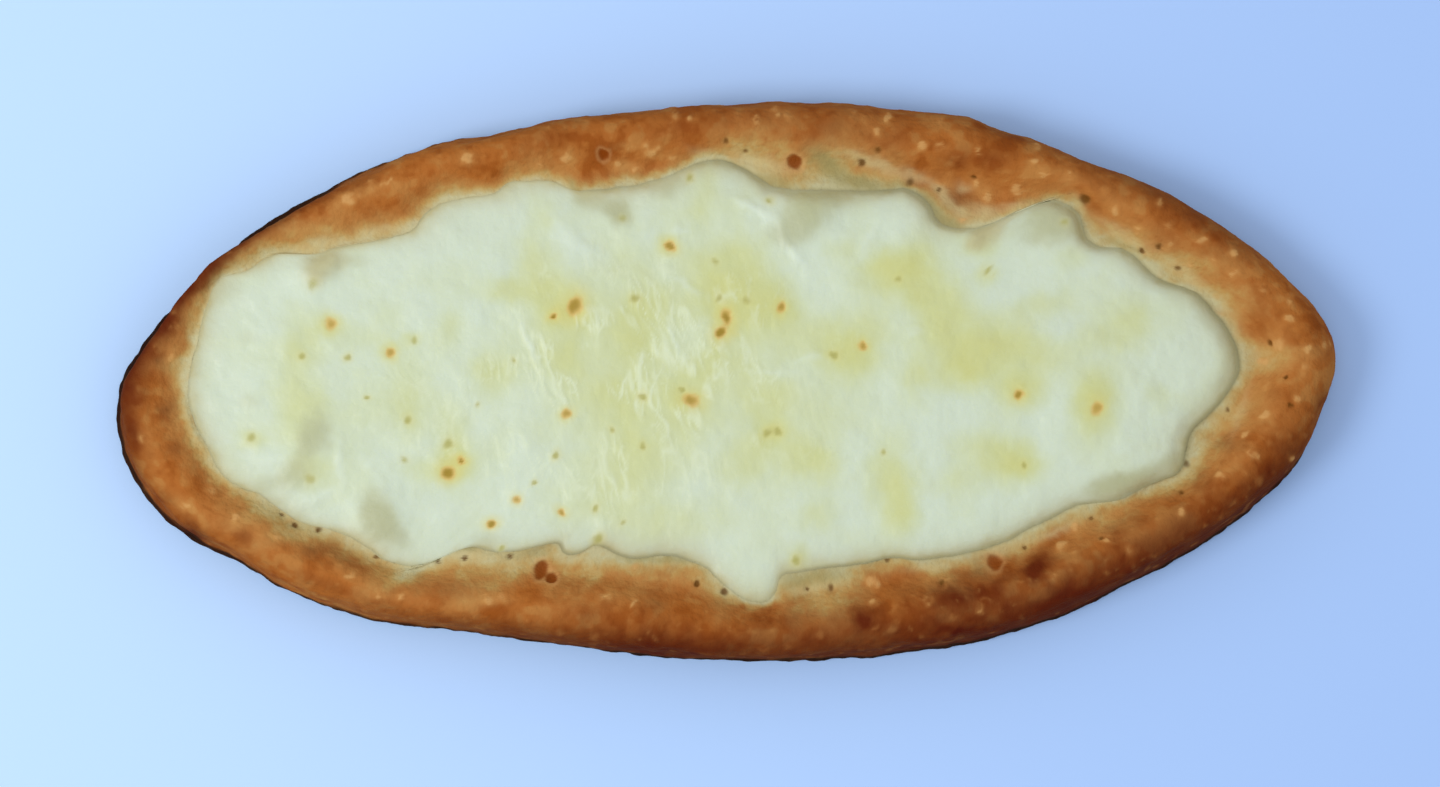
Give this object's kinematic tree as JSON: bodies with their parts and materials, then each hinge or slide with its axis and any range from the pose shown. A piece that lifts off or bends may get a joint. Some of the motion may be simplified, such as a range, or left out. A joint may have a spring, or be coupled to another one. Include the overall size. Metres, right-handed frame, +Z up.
{
  "type": "cheese flatbread",
  "caption": "Long boat-shaped flatbread with a plump browned crust all round and a layer of melted cheese in the middle.",
  "frame": {"origin": "middle of the underside of the whole object's box", "axes": "+X along the bread, +Y across it, +Z up out of the cheese side"},
  "size_m": [0.3006, 0.1378, 0.021],
  "materials": {
    "bread_crust": "matt baked crust, golden brown with pale blisters",
    "melted_cheese": "soft satin, cream white with yellow patches and small browned spots"
  },
  "bodies": {
    "root": {"bread": "bread_crust", "cheese": "melted_cheese"}
  },
  "joints": []
}
